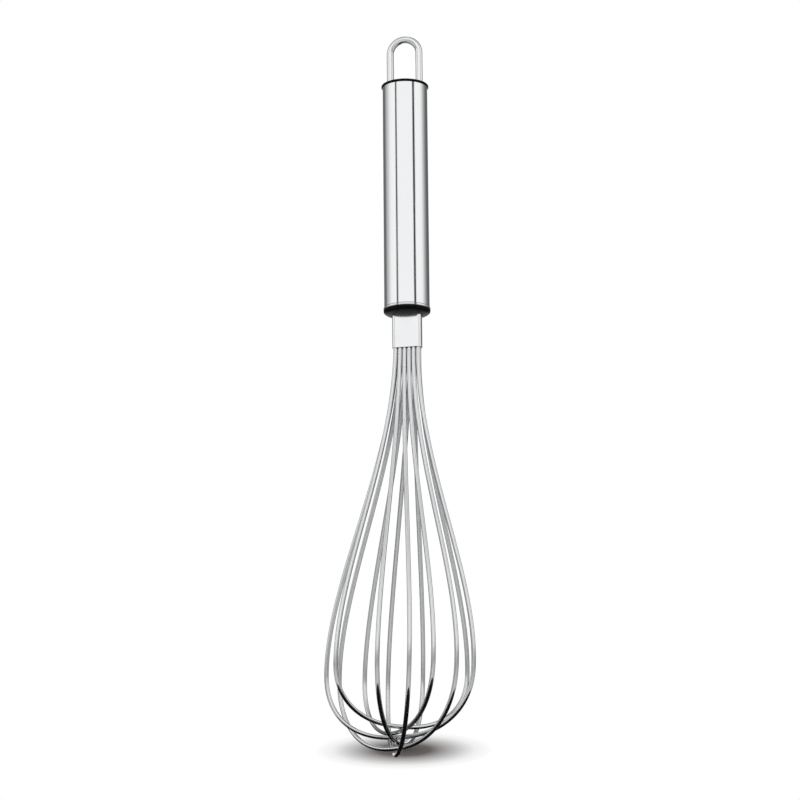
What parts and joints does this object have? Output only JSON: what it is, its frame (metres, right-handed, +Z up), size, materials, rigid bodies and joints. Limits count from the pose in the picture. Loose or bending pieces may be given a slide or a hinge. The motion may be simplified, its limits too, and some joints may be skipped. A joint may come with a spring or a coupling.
{
  "type": "balloon whisk",
  "caption": "Balloon whisk with a round tube handle, a hanging loop, a flat ferrule and nested loops of round wire that swell into a balloon.",
  "frame": {"origin": "inside of the hanging loop's crown, where a hook carries the whisk", "axes": "+Z up along the handle, away from the balloon; X in the hanging loop's plane and along the ferrule's two rows of wires"},
  "size_m": [0.0643, 0.065, 0.3051],
  "materials": {
    "hanging_loop": "polished stainless steel wire",
    "caps": "moulded black nylon",
    "handle_tube": "polished stainless steel tube",
    "resin": "poured filled resin",
    "ferrule": "satin stainless steel",
    "whisk_wire": "bright drawn stainless steel wire"
  },
  "bodies": {
    "root": {"hanging_loop": "hanging_loop", "handle_top_cap": "caps", "handle_tube": "handle_tube", "handle_bottom_cap": "caps", "resin_plug": "resin", "ferrule": "ferrule", "wire_loop_1": "whisk_wire", "wire_loop_2": "whisk_wire", "wire_loop_3": "whisk_wire", "wire_loop_4": "whisk_wire", "wire_loop_5": "whisk_wire", "wire_loop_6": "whisk_wire"}
  },
  "joints": []
}
